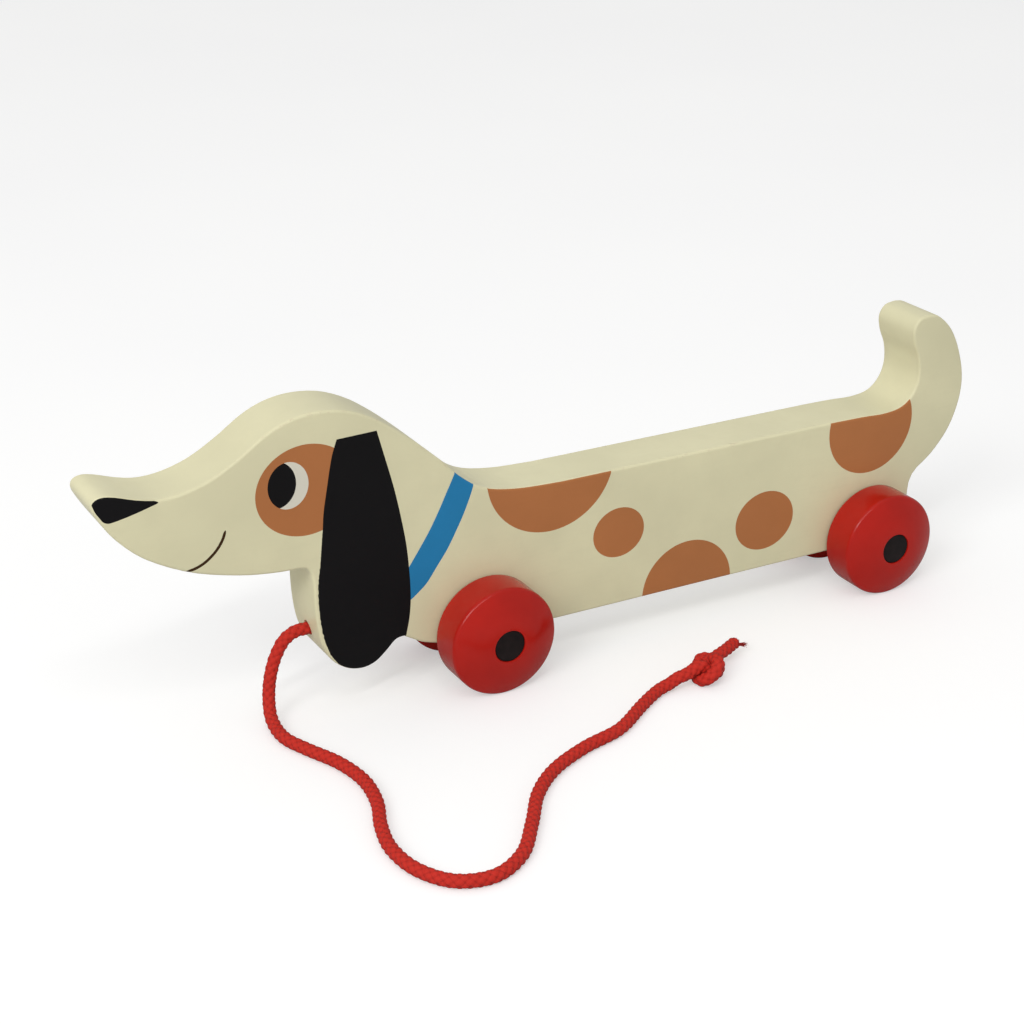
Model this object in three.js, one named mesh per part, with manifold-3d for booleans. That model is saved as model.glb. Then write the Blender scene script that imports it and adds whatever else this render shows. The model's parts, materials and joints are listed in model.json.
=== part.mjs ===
// A wooden pull-along dachshund: a flat shaped plank on two dowel axles, four domed
// wheels with pressed-in hub plugs, and a braided pull cord that ends in a knot.
//
// Units are millimetres and +Z is up. The dog looks towards -X and its left side faces
// -Y. The pieces are drawn with heights above the floor, and the finished toy is lowered
// so that its origin is on the plank's flat underside, midway between the two axles.

import * as THREE from 'three';
import * as BufferGeometryUtils from 'three/addons/utils/BufferGeometryUtils.js';
import Module from 'manifold-3d';

const wasm = await Module();
wasm.setup();

// Plank
const PLANK_THICKNESS = 22;
const PLANK_EDGE_RADIUS = 1.0;
const BELLY_Z = 16.0;
const BACK_Z = 68.9;
const RUMP_X = 102.3;
const RUMP_CORNER_RADIUS = 7;
const NECK_X = -53;
const BELLY_FRONT_X = -80;

// Wheels and axles
const WHEEL_RADIUS = 20;
const HALF_WHEELBASE = 83.3;
const WHEEL_WIDTH = 17.5;
const WHEEL_DOME = 3.4;
const WHEEL_OUTER_EDGE_RADIUS = 1.8;
const WHEEL_INNER_EDGE_RADIUS = 1.2;
const WHEEL_TO_PLANK_GAP = 0.5;
const WHEEL_FACETS = 40;
const AXLE_RADIUS = 3;
const AXLE_FACETS = 32;
const AXLE_RUNNING_CLEARANCE = 0.15;
const AXLE_GLUE_CLEARANCE = 0.05;
const PLUG_RADIUS = 5.75;
const PLUG_DEPTH = 5;
const PLUG_EDGE_RADIUS = 0.5;
const PLUG_CLEARANCE = 0.08;
const PLUG_FLOOR_GAP = 0.3;

// Cord
const CORD_RADIUS = 2.2;
const CORD_FACETS = 8;
const CORD_STEP = 4;
const CORD_PIVOT_GAP = 0.3;
const CORD_HOLE_RADIUS = 2.55;
const CORD_HOLE_DEPTH = 22;
const CORD_HOLE_FACETS = 20;
const CHEST_X = -146.4;
const CORD_HOLE_Z = 29.6;
const CORD_PIVOTS = [3.2, 46, 137, 206, 250];
const CORD_NAMES = [
  'cord_drop', 'cord_front_run', 'cord_loop', 'cord_back_run', 'cord_knotted_end',
];
const KNOT_DISTANCE = 324;
const KNOT_HEADING = 0.15;
const KNOT_HALF_LENGTH = 7;
const KNOT_HALF_WIDTH = 5.8;
const KNOT_HALF_HEIGHT = 4.6;

const CREAM = new THREE.Color(0.79, 0.77, 0.64);
const RED = new THREE.Color(0.62, 0.05, 0.03);
const BLACK = new THREE.Color(0.02, 0.02, 0.02);
const BEECH = new THREE.Color(0.72, 0.52, 0.33);
const CORD_RED = new THREE.Color(0.65, 0.03, 0.02);

// Turns a closed geometry into a solid that can be joined and cut.
function toSolid(geometry) {
  const bare = geometry.index ? geometry.toNonIndexed() : geometry.clone();
  bare.deleteAttribute('normal');
  bare.deleteAttribute('uv');
  const merged = BufferGeometryUtils.mergeVertices(bare, 1e-5);
  return new wasm.Manifold(new wasm.Mesh({
    numProp: 3,
    vertProperties: new Float32Array(merged.attributes.position.array),
    triVerts: new Uint32Array(merged.index.array),
  }));
}

// Turns a solid back into a geometry with flat faces.
function toGeometry(solid) {
  const mesh = solid.getMesh();
  const geometry = new THREE.BufferGeometry();
  geometry.setAttribute('position', new THREE.BufferAttribute(mesh.vertProperties, 3));
  geometry.setIndex(new THREE.BufferAttribute(mesh.triVerts, 1));
  geometry.computeVertexNormals();
  return geometry;
}

function namedMesh(name, geometry, color, roughness) {
  const material = new THREE.MeshStandardMaterial({ color, roughness, metalness: 0 });
  const mesh = new THREE.Mesh(geometry, material);
  mesh.name = name;
  return mesh;
}

function points(pairs) {
  return pairs.map(([x, z]) => new THREE.Vector2(x, z));
}

// Side outline of the plank, seen from its left side: X runs along it and the second
// coordinate is height. It goes round from the neck along the back, tail, rump, belly,
// chest lobe, jaw, nose and crown.
function plankOutline() {
  const outline = new THREE.Shape();
  outline.moveTo(NECK_X, BACK_Z);
  outline.lineTo(66, BACK_Z);
  // Front of the tail and its rounded tip
  outline.splineThru(points([
    [78, 68.7], [88, 68.3], [95.9, 69.6], [100.8, 73.8], [103, 79.9], [102.4, 87.1],
    [99.8, 93.7], [99, 99.3], [101.6, 103.2], [106.2, 104.1],
  ]));
  // Back of the tail
  outline.splineThru(points([
    [110.5, 103.1], [116.5, 97.9], [120.9, 90.3], [124, 80.9], [124.8, 73], [123.4, 64.6],
    [119.6, 55.6], [112.9, 47.5], [106, 42.3],
  ]));
  // Notch under the tail, then down the rump and round its lower corner
  outline.quadraticCurveTo(RUMP_X, 39.4, RUMP_X, 33.4);
  outline.lineTo(RUMP_X, BELLY_Z + RUMP_CORNER_RADIUS);
  outline.absarc(
    RUMP_X - RUMP_CORNER_RADIUS, BELLY_Z + RUMP_CORNER_RADIUS,
    RUMP_CORNER_RADIUS, 0, -Math.PI / 2, true,
  );
  outline.lineTo(BELLY_FRONT_X, BELLY_Z);
  // Front leg bulge, up to the notch behind the ear lobe
  outline.splineThru(points([[-96, 16.6], [-106.3, 19], [-111.3, 21.5], [-114.8, 23.6]]));
  // Ear lobe
  outline.splineThru(points([
    [-118, 23], [-122, 19.3], [-126.1, 16.3], [-131, 15.3], [-136.5, 16.7],
    [-141.5, 20.6], [-144.6, 25.9], [-146.3, 32.4], [-147.2, 41], [-147.4, 50],
  ]));
  // Throat corner and jaw
  outline.quadraticCurveTo(-147.4, 57.4, -152, 57.5);
  outline.splineThru(points([
    [-160.9, 57.9], [-173.3, 59.8], [-189.3, 64.5], [-203.8, 72.3], [-212.9, 80.9],
    [-217.8, 88.3],
  ]));
  // Nose tip
  outline.splineThru(points([[-220.1, 93.1], [-219.1, 95.7], [-216, 96.5]]));
  // Muzzle, forehead and crown
  outline.splineThru(points([
    [-211.8, 95.5], [-205.1, 93.2], [-198, 91.8], [-189.8, 92.4], [-180.5, 95.2], [-171, 100.4],
    [-161.6, 106.6], [-153.2, 110], [-144.4, 111.1], [-134.6, 109.9], [-125.1, 106],
    [-116.5, 100.2], [-107.7, 93], [-99.4, 85.5],
  ]));
  // Back of the neck
  outline.splineThru(points([[-91.4, 77.8], [-82.7, 72.4], [-70, 69.8], [NECK_X, BACK_Z]]));
  return outline;
}

// A cylinder along Y between two Y values.
function crossRod(radius, yFrom, yTo, facets, x, z) {
  const rod = new THREE.CylinderGeometry(radius, radius, yTo - yFrom, facets);
  rod.translate(x, (yFrom + yTo) / 2, z);
  return rod;
}

// Radius of the polygon whose flats stand clear of a round piece by the given clearance.
function boreRadius(pieceRadius, clearance, facets) {
  return (pieceRadius + clearance) / Math.cos(Math.PI / facets);
}

function plankGeometry() {
  const flat = PLANK_THICKNESS - 2 * PLANK_EDGE_RADIUS;
  const blank = new THREE.ExtrudeGeometry(plankOutline(), {
    depth: flat,
    curveSegments: 3,
    bevelEnabled: true,
    bevelThickness: PLANK_EDGE_RADIUS,
    bevelSize: PLANK_EDGE_RADIUS,
    bevelOffset: -PLANK_EDGE_RADIUS,
    bevelSegments: 3,
  });
  blank.rotateX(Math.PI / 2);
  blank.translate(0, flat / 2, 0);
  let solid = toSolid(blank);
  const bore = boreRadius(AXLE_RADIUS, AXLE_RUNNING_CLEARANCE, AXLE_FACETS);
  for (const x of [-HALF_WHEELBASE, HALF_WHEELBASE]) {
    const hole = crossRod(bore, -PLANK_THICKNESS, PLANK_THICKNESS, AXLE_FACETS, x, WHEEL_RADIUS);
    solid = solid.subtract(toSolid(hole));
  }
  const holeLength = CORD_HOLE_DEPTH + 2 * PLANK_EDGE_RADIUS;
  const cordHole = new THREE.CylinderGeometry(
    CORD_HOLE_RADIUS, CORD_HOLE_RADIUS, holeLength, CORD_HOLE_FACETS,
  );
  cordHole.rotateZ(Math.PI / 2);
  cordHole.translate(CHEST_X + CORD_HOLE_DEPTH - holeLength / 2, 0, CORD_HOLE_Z);
  return toGeometry(solid.subtract(toSolid(cordHole)));
}

function quarterRound(centreX, centreY, radius, fromAngle, toAngle, steps) {
  const arc = [];
  for (let i = 0; i <= steps; i += 1) {
    const angle = fromAngle + (toAngle - fromAngle) * i / steps;
    arc.push(new THREE.Vector2(
      centreX + radius * Math.cos(angle),
      centreY + radius * Math.sin(angle),
    ));
  }
  return arc;
}

// Wheel turned about Y, with its flat inner face at y = 0 and its domed face outwards.
function wheelGeometry() {
  const bore = boreRadius(AXLE_RADIUS, AXLE_GLUE_CLEARANCE, AXLE_FACETS);
  const socket = boreRadius(PLUG_RADIUS, PLUG_CLEARANCE, AXLE_FACETS);
  const rimTop = WHEEL_WIDTH - WHEEL_DOME;
  const outerR = WHEEL_RADIUS - WHEEL_OUTER_EDGE_RADIUS;
  const innerR = WHEEL_RADIUS - WHEEL_INNER_EDGE_RADIUS;
  const profile = [
    new THREE.Vector2(0, 0),
    ...quarterRound(
      innerR, WHEEL_INNER_EDGE_RADIUS, WHEEL_INNER_EDGE_RADIUS, -Math.PI / 2, 0, 2,
    ),
    ...quarterRound(
      outerR, rimTop - WHEEL_OUTER_EDGE_RADIUS, WHEEL_OUTER_EDGE_RADIUS, 0, Math.PI * 0.42, 3,
    ),
  ];
  const domeSteps = 4;
  for (let i = 1; i <= domeSteps; i += 1) {
    const radius = outerR + (PLUG_RADIUS - outerR) * i / domeSteps;
    const rise = 1 - ((radius - PLUG_RADIUS) / (outerR - PLUG_RADIUS)) ** 2;
    profile.push(new THREE.Vector2(radius, rimTop + WHEEL_DOME * rise));
  }
  profile.push(new THREE.Vector2(0, WHEEL_WIDTH));
  const blank = new THREE.LatheGeometry(profile, WHEEL_FACETS);
  const through = crossRod(bore, -1, WHEEL_WIDTH + 1, AXLE_FACETS, 0, 0);
  const seat = crossRod(socket, WHEEL_WIDTH - PLUG_DEPTH, WHEEL_WIDTH + 1, AXLE_FACETS, 0, 0);
  return toGeometry(toSolid(blank).subtract(toSolid(through)).subtract(toSolid(seat)));
}

// Hub plug: a short round button with a softened outer rim, face at y = WHEEL_WIDTH.
function plugGeometry() {
  const bottom = WHEEL_WIDTH - PLUG_DEPTH + PLUG_FLOOR_GAP;
  return new THREE.LatheGeometry([
    new THREE.Vector2(0, bottom),
    new THREE.Vector2(PLUG_RADIUS, bottom),
    ...quarterRound(
      PLUG_RADIUS - PLUG_EDGE_RADIUS, WHEEL_WIDTH - PLUG_EDGE_RADIUS, PLUG_EDGE_RADIUS,
      0, Math.PI / 2, 2,
    ),
    new THREE.Vector2(0, WHEEL_WIDTH),
  ], AXLE_FACETS);
}

// Dowel that reaches from one hub plug to the other.
function axleGeometry() {
  const half = PLANK_THICKNESS / 2 + WHEEL_TO_PLANK_GAP + WHEEL_WIDTH - PLUG_DEPTH;
  return new THREE.CylinderGeometry(AXLE_RADIUS, AXLE_RADIUS, 2 * half, AXLE_FACETS);
}

// One axle with its two wheels and their plugs, all turning together.
function wheelset(end, x) {
  const set = new THREE.Group();
  set.position.set(x, 0, WHEEL_RADIUS);
  set.add(namedMesh(`${end}_axle`, axleGeometry(), BEECH, 0.7));
  for (const [side, direction] of [['left', -1], ['right', 1]]) {
    const wheelSide = new THREE.Group();
    wheelSide.position.y = direction * (PLANK_THICKNESS / 2 + WHEEL_TO_PLANK_GAP);
    wheelSide.rotation.x = direction < 0 ? Math.PI : 0;
    wheelSide.add(namedMesh(`${end}_${side}_wheel`, wheelGeometry(), RED, 0.3));
    wheelSide.add(namedMesh(`${end}_${side}_hub_plug`, plugGeometry(), BLACK, 0.35));
    set.add(wheelSide);
  }
  return set;
}

// Centre line of the cord from the chest hole to the knot, resting on the floor.
function cordCentreLine() {
  const floor = CORD_RADIUS;
  const air = [
    [CHEST_X - 0.2, 0, CORD_HOLE_Z], [-150.4, 0, 29.5], [-154.6, -0.2, 27.4],
    [-157.8, -0.5, 23], [-160.2, -1, 17.4], [-162, -2.2, 10.4], [-163.4, -6, 4.4],
    [-164.3, -12, 2.5],
  ];
  const ground = [
    [-164.2, -21], [-160.6, -31], [-155, -44], [-152.6, -58], [-154.6, -72],
    [-159.4, -85], [-162, -98], [-160, -112], [-152.6, -122.6], [-141.2, -125.6],
    [-129, -119.6], [-117.6, -105.6], [-107.4, -91.4], [-96, -81.4], [-80, -73.8],
    [-63.6, -69], [-48, -60.8], [-34, -51.8], [-22, -49.4], [-10, -47.6], [0, -41.4],
    [9.4, -36.2],
  ];
  const all = [
    ...air.map(([x, y, z]) => new THREE.Vector3(x, y, z)),
    ...ground.map(([x, y]) => new THREE.Vector3(x, y, floor)),
  ];
  const line = new THREE.CatmullRomCurve3(all);
  line.arcLengthDivisions = 800;
  return line;
}

// A stretch of the cord's centre line between two distances from the chest.
class Stretch extends THREE.Curve {
  constructor(line, from, to) {
    super();
    this.line = line;
    this.from = from / line.getLength();
    this.to = to / line.getLength();
  }

  getPoint(t, target = new THREE.Vector3()) {
    return target.copy(this.line.getPointAt(this.from + (this.to - this.from) * t));
  }
}

function cordTube(path, length) {
  const ring = new THREE.Shape();
  for (let i = 0; i < CORD_FACETS; i += 1) {
    const angle = 2 * Math.PI * (i + 0.5) / CORD_FACETS;
    const [u, v] = [CORD_RADIUS * Math.cos(angle), CORD_RADIUS * Math.sin(angle)];
    if (i === 0) ring.moveTo(u, v);
    else ring.lineTo(u, v);
  }
  ring.closePath();
  return new THREE.ExtrudeGeometry(ring, {
    steps: Math.max(2, Math.round(length / CORD_STEP)),
    extrudePath: path,
    bevelEnabled: false,
  });
}

function ballAt(centre) {
  const ball = new THREE.SphereGeometry(CORD_RADIUS, CORD_FACETS, 6);
  ball.translate(centre.x, centre.y, centre.z);
  return ball;
}

// A rigid stretch of cord. It starts just past the last pivot, and where it carries
// another stretch it ends in a ball centred on the next pivot.
function cordPiece(line, fromPivot, toPivot, last) {
  const start = fromPivot + CORD_RADIUS + CORD_PIVOT_GAP;
  const tube = toSolid(cordTube(new Stretch(line, start, toPivot), toPivot - start));
  if (last) return tube;
  return tube.add(toSolid(ballAt(line.getPointAt(toPivot / line.getLength()))));
}

// The stretch glued into the chest hole, ending in the ball the first pivot turns about.
function cordAnchor(line, pivot) {
  const depth = CORD_HOLE_DEPTH - CORD_PIVOT_GAP;
  const end = line.getPointAt(pivot / line.getLength());
  const straight = new THREE.LineCurve3(
    new THREE.Vector3(CHEST_X + depth, 0, CORD_HOLE_Z),
    new THREE.Vector3(end.x, 0, CORD_HOLE_Z),
  );
  const tube = new THREE.CylinderGeometry(
    CORD_RADIUS, CORD_RADIUS, straight.getLength(), CORD_FACETS,
  );
  tube.rotateZ(Math.PI / 2);
  tube.translate(CHEST_X + depth - straight.getLength() / 2, 0, CORD_HOLE_Z);
  return toSolid(tube).add(toSolid(ballAt(new THREE.Vector3(end.x, 0, CORD_HOLE_Z))));
}

// Overhand knot as one rounded lump on the cord, flattened where it rests on the floor.
function knotLump(centre) {
  const lump = new THREE.SphereGeometry(1, 16, 10);
  lump.scale(KNOT_HALF_LENGTH, KNOT_HALF_WIDTH, KNOT_HALF_HEIGHT);
  lump.rotateZ(KNOT_HEADING);
  lump.translate(centre.x, centre.y, KNOT_HALF_HEIGHT);
  return lump;
}

// Distances along the cord, from the chest, of the points where it is free to bend, and
// the pieces that lie between them.
function cordPieces(line) {
  const pieces = [['cord_anchor', cordAnchor(line, CORD_PIVOTS[0])]];
  CORD_NAMES.forEach((name, i) => {
    const last = i === CORD_NAMES.length - 1;
    const end = last ? line.getLength() : CORD_PIVOTS[i + 1];
    let piece = cordPiece(line, CORD_PIVOTS[i], end, last);
    if (last) {
      const centre = line.getPointAt(KNOT_DISTANCE / line.getLength());
      piece = piece.add(toSolid(knotLump(centre)));
    }
    pieces.push([name, piece]);
  });
  return pieces;
}

const toy = new THREE.Group();
toy.position.z = -BELLY_Z;
toy.add(namedMesh('plank_body', plankGeometry(), CREAM, 0.35));
toy.add(wheelset('front', -HALF_WHEELBASE));
toy.add(wheelset('rear', HALF_WHEELBASE));
for (const [name, solid] of cordPieces(cordCentreLine())) {
  toy.add(namedMesh(name, toGeometry(solid), CORD_RED, 0.85));
}

export default toy;
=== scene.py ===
"""Visual model of a wooden pull-along dachshund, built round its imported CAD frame."""

import json
import math

import bpy
import numpy as np
from mathutils import Matrix, Vector
from mathutils.geometry import delaunay_2d_cdt

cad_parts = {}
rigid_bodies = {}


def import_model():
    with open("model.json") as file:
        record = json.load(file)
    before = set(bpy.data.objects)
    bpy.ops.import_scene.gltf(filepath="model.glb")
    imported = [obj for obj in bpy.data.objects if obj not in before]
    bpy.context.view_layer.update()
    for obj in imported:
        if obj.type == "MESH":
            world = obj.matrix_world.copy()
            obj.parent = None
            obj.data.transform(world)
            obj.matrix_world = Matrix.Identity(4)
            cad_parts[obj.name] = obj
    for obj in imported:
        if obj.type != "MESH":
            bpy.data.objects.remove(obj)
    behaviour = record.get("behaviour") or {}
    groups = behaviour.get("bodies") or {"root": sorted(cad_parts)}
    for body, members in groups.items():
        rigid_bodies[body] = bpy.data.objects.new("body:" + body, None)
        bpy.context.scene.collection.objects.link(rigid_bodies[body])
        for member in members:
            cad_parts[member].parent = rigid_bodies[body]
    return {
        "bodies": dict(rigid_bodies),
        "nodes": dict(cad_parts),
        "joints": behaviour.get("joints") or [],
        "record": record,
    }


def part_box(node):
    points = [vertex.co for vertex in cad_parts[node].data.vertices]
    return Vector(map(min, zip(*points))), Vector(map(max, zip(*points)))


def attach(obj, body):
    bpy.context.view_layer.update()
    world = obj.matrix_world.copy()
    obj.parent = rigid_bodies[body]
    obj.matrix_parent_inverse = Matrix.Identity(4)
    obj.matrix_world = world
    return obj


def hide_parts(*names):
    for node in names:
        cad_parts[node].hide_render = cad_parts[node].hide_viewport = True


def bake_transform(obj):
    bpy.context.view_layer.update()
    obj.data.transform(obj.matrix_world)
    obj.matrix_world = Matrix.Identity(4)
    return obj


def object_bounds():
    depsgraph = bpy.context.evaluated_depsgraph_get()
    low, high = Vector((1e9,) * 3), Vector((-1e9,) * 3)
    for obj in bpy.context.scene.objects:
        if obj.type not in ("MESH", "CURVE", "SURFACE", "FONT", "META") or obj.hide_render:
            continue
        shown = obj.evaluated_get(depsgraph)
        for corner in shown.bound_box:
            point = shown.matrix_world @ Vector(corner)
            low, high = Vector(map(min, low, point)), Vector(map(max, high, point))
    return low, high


# The frame is in metres. Shapes below are written in millimetres, and heights in them are
# above the floor, which the wheels stand on.
MM = 0.001
SEED = 11

# Plank
PLANK_HALF = 11.0
EDGE_RADIUS = 1.0
EDGE_STEPS = 6
OUTLINE_SPACING = 0.7
LONGEST_SPAN = 3.0
NOSE_TIP_X = -206.0
NOSE_TIP_ROUNDS = 6
PAINT_LIMIT_DEGREES = 50
PAINTED_STEPS = 4
BAND_SUPPORT = 0.3
BORE_RADIUS = 3.15
BORE_STEPS = 64
SPOT_STEPS = 110
EYE = (-154.9, 87.8, 7.1, 8.15)
PUPIL_CENTRE = (-159.2, 88.6)
PUPIL_STEPS = 48

# Wheels
WHEEL_RADIUS = 20.0
HALF_WHEELBASE = 83.3
WHEEL_WIDTH = 17.5
WHEEL_INNER_Y = 11.5
WHEEL_STEPS = 128
WHEEL_OUTER_ROUND = 1.8
WHEEL_INNER_ROUND = 1.2
WHEEL_ROUND_DEGREES = 61
WHEEL_ROUND_RISE = 1.58
TREAD_RINGS = (5.0, 9.0)
TREAD_WORN = (0.35, 0.1)
DOME_STEPS = 21
DOME_START_RADIUS = 19.06
DOME_START_HEIGHT = 13.88
AXLE_FIT_RADIUS = 3.05
PLUG_RADIUS = 5.75
PLUG_SOCKET_RADIUS = 5.84
PLUG_DEPTH = 5.0
PLUG_FLOOR_GAP = 0.3
PLUG_ROUND = 0.45
PLUG_CROWN = 0.25
PLUG_BEVEL = 0.3
PLUG_STEPS = 64
SOCKET_LIP = 0.25
SOCKET_LIP_MIDDLE = (0.08, 0.05)

# Cord
CORD_RADIUS = 2.2
CORD_RELIEF = 0.85
CORD_LAY = 12.0
CORD_STRANDS = 4
CORD_AROUND = 44
CORD_SPACING = 0.32
CORD_END_ROUND = 1.6
CORD_END_SHARE = 0.45
STRAND_CROWN = 0.62
STRAND_WEAVE = 0.38
STRAND_NARROWING = 1.9
STRAND_MEAN_HEIGHT = 0.85
CORD_HOLE_RADIUS = 2.55
CORD_HOLE_DEPTH = 22.0
CORD_HOLE_STEPS = 48
# The hole's lip, as (distance inside the chest's front edge, radius)
CORD_HOLE_LIP = ((-6, 3.6), (-0.7, 3.6), (0.1, 2.95), (0.5, 2.7), (1.1, CORD_HOLE_RADIUS))
CHEST_X = -146.4
CORD_HOLE_Z = 29.6
CORD_PIVOTS = (3.2, 46.0, 137.0, 206.0, 250.0)
KNOT_CENTRE = (-19.8, -49.8)
KNOT_AHEAD_DEGREES = 19.5
KNOT_SPAN = 13.0
KNOT_LIFT = 3.0
KNOT_ROLL_DEGREES = 225
KNOT_CORD_RADIUS = 2.3
KNOT_LENGTH = 50.0
KNOT_POINTS = 80
KNOT_FROM_END = 47.0
KNOT_REACH = 29.0
KNOT_SWELL = 0.09
KNOT_BACK_POINT = 35
KNOT_BACK_WIDTH = 7
KNOT_BACK_RISE = 2.5
KNOT_ROUNDS = 200
KNOT_SETTLES = 14
KNOT_STIFFNESS = 0.06
KNOT_END_PULL = 0.3
KNOT_PULLING_SHARE = 0.7
KNOT_NEIGHBOUR_SHARE = 0.95
FRAY_FIBRES = 130
WISP_FIBRES = 56
FRAY_LENGTHS = (1.2, 2.2)
WISP_LENGTHS = (2.2, 3.9)
FIBRE_THICKNESSES = (0.19, 0.34)

# Stage, with the lamps and the floor in metres
STRIP_WIDTH = 0.09
SKY_LIGHT = 0.575
SKY_SEEN = 0.9
FLOOR_SIZE = 40.0
FLOOR_GLOW = 0.43
CAMERA_DEGREES = (-28.67, 23.6, -0.05)
CAMERA_PLACE = (-379.88, -572.46, 340.95)
LENS_LENGTH = 71.26
SENSOR_WIDTH = 36.0


def load_frame():
    """The CAD frame and the box round all of it."""
    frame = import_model()
    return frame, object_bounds()


frame, cad_box = load_frame()
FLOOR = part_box("front_left_wheel")[0].z


def at_height(height):
    """Z in the frame, in metres, of a height above the floor in millimetres."""
    return FLOOR + height * MM


# ---- curves and meshes


def smooth_curve(points, spacing, closed=False):
    """Points along a centripetal Catmull-Rom curve through the given ones."""
    points = np.asarray(points, float)
    if closed:
        line = np.vstack([points[-1], points, points[0], points[1]])
    else:
        line = np.vstack([2 * points[0] - points[1], points, 2 * points[-1] - points[-2]])
    dense = []
    for i in range(1, len(line) - 2):
        p0, p1, p2, p3 = line[i - 1:i + 3]
        gaps = [math.sqrt(np.linalg.norm(b - a)) for a, b in ((p0, p1), (p1, p2), (p2, p3))]
        g0, g1, g2 = gaps
        m1 = ((p1 - p0) / g0 - (p2 - p0) / (g0 + g1) + (p2 - p1) / g1) * g1
        m2 = ((p2 - p1) / g1 - (p3 - p1) / (g1 + g2) + (p3 - p2) / g2) * g1
        steps = max(1, round(np.linalg.norm(p2 - p1) / spacing))
        for t in np.arange(steps) / steps:
            square, cube = t * t, t * t * t
            dense.append(
                (2 * cube - 3 * square + 1) * p1 + (cube - 2 * square + t) * m1
                + (3 * square - 2 * cube) * p2 + (cube - square) * m2
            )
    if not closed:
        dense.append(points[-1])
    return np.array(dense)


def even_spacing(points, spacing):
    """The same open line, with points an even distance apart, and their distances."""
    steps = np.linalg.norm(np.diff(points, axis=0), axis=1)
    travelled = np.concatenate([[0], np.cumsum(steps)])
    count = max(2, round(travelled[-1] / spacing) + 1)
    wanted = np.linspace(0, travelled[-1], count)
    line = np.stack([np.interp(wanted, travelled, points[:, k]) for k in range(3)], 1)
    return line, wanted


def round_turns(steps):
    """The angles of this many even steps round a full turn."""
    return np.arange(steps) * 2 * math.pi / steps


def ellipse(x, z, half_length, half_height, steps=SPOT_STEPS):
    turns = round_turns(steps)
    return np.stack([x + half_length * np.cos(turns), z + half_height * np.sin(turns)], 1)


def circle(x, z, radius, steps):
    return ellipse(x, z, radius, radius, steps)


def inside(points, loop):
    """For each point, whether it is inside the closed loop."""
    x, z = points[:, 0][:, None], points[:, 1][:, None]
    ax, az = loop[:, 0][None], loop[:, 1][None]
    bx, bz = np.roll(loop[:, 0], -1)[None], np.roll(loop[:, 1], -1)[None]
    spans = (az > z) != (bz > z)
    rise = np.where(bz == az, 1.0, bz - az)
    crossing = ax + (z - az) * (bx - ax) / rise
    return (np.count_nonzero(spans & (x < crossing), axis=1) % 2) == 1


def linked_object(name, data):
    obj = bpy.data.objects.new(name, data)
    bpy.context.scene.collection.objects.link(obj)
    return obj


def new_mesh(name, vertices, faces, materials):
    mesh = bpy.data.meshes.new(name)
    mesh.from_pydata(vertices.tolist(), [], faces)
    for material in materials:
        mesh.materials.append(material)
    return mesh


def mesh_object(name, vertices, faces, materials, indices=None, sharp_degrees=35):
    """A smooth-shaded object, its vertices in millimetres above the floor."""
    placed = np.asarray(vertices, float) * MM
    placed[:, 2] += FLOOR
    mesh = new_mesh(name, placed, faces, materials)
    if indices is not None:
        mesh.polygons.foreach_set("material_index", np.asarray(indices, np.int32))
    finish_shading(mesh, sharp_degrees)
    return linked_object(name, mesh)


def finish_shading(mesh, sharp_degrees):
    mesh.polygons.foreach_set("use_smooth", [True] * len(mesh.polygons))
    mesh.set_sharp_from_angle(angle=math.radians(sharp_degrees))
    mesh.validate()
    mesh.update()


def lathe(name, profile, steps, hub, side, materials, sharp_degrees=30):
    """A closed profile of (radius, distance out from the hub point), turned about Y."""
    turns = round_turns(steps)
    rings = [
        np.stack([r * np.cos(turns), np.full(steps, side * y), r * np.sin(turns)], 1)
        for r, y in profile
    ]
    vertices = np.vstack(rings)
    count = len(profile)
    faces = []
    for k in range(count):
        here, there = k * steps, ((k + 1) % count) * steps
        for i in range(steps):
            j = (i + 1) % steps
            quad = (here + i, here + j, there + j, there + i)
            faces.append(quad if side > 0 else quad[::-1])
    mesh = new_mesh(name, vertices * MM, faces, materials)
    finish_shading(mesh, sharp_degrees)
    obj = linked_object(name, mesh)
    obj.location = hub
    return obj


def arc(centre_r, centre_y, radius, from_degrees, to_degrees, steps):
    turns = np.radians(np.linspace(from_degrees, to_degrees, steps + 1))
    return [(centre_r + radius * math.cos(a), centre_y + radius * math.sin(a)) for a in turns]


# ---- materials


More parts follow.
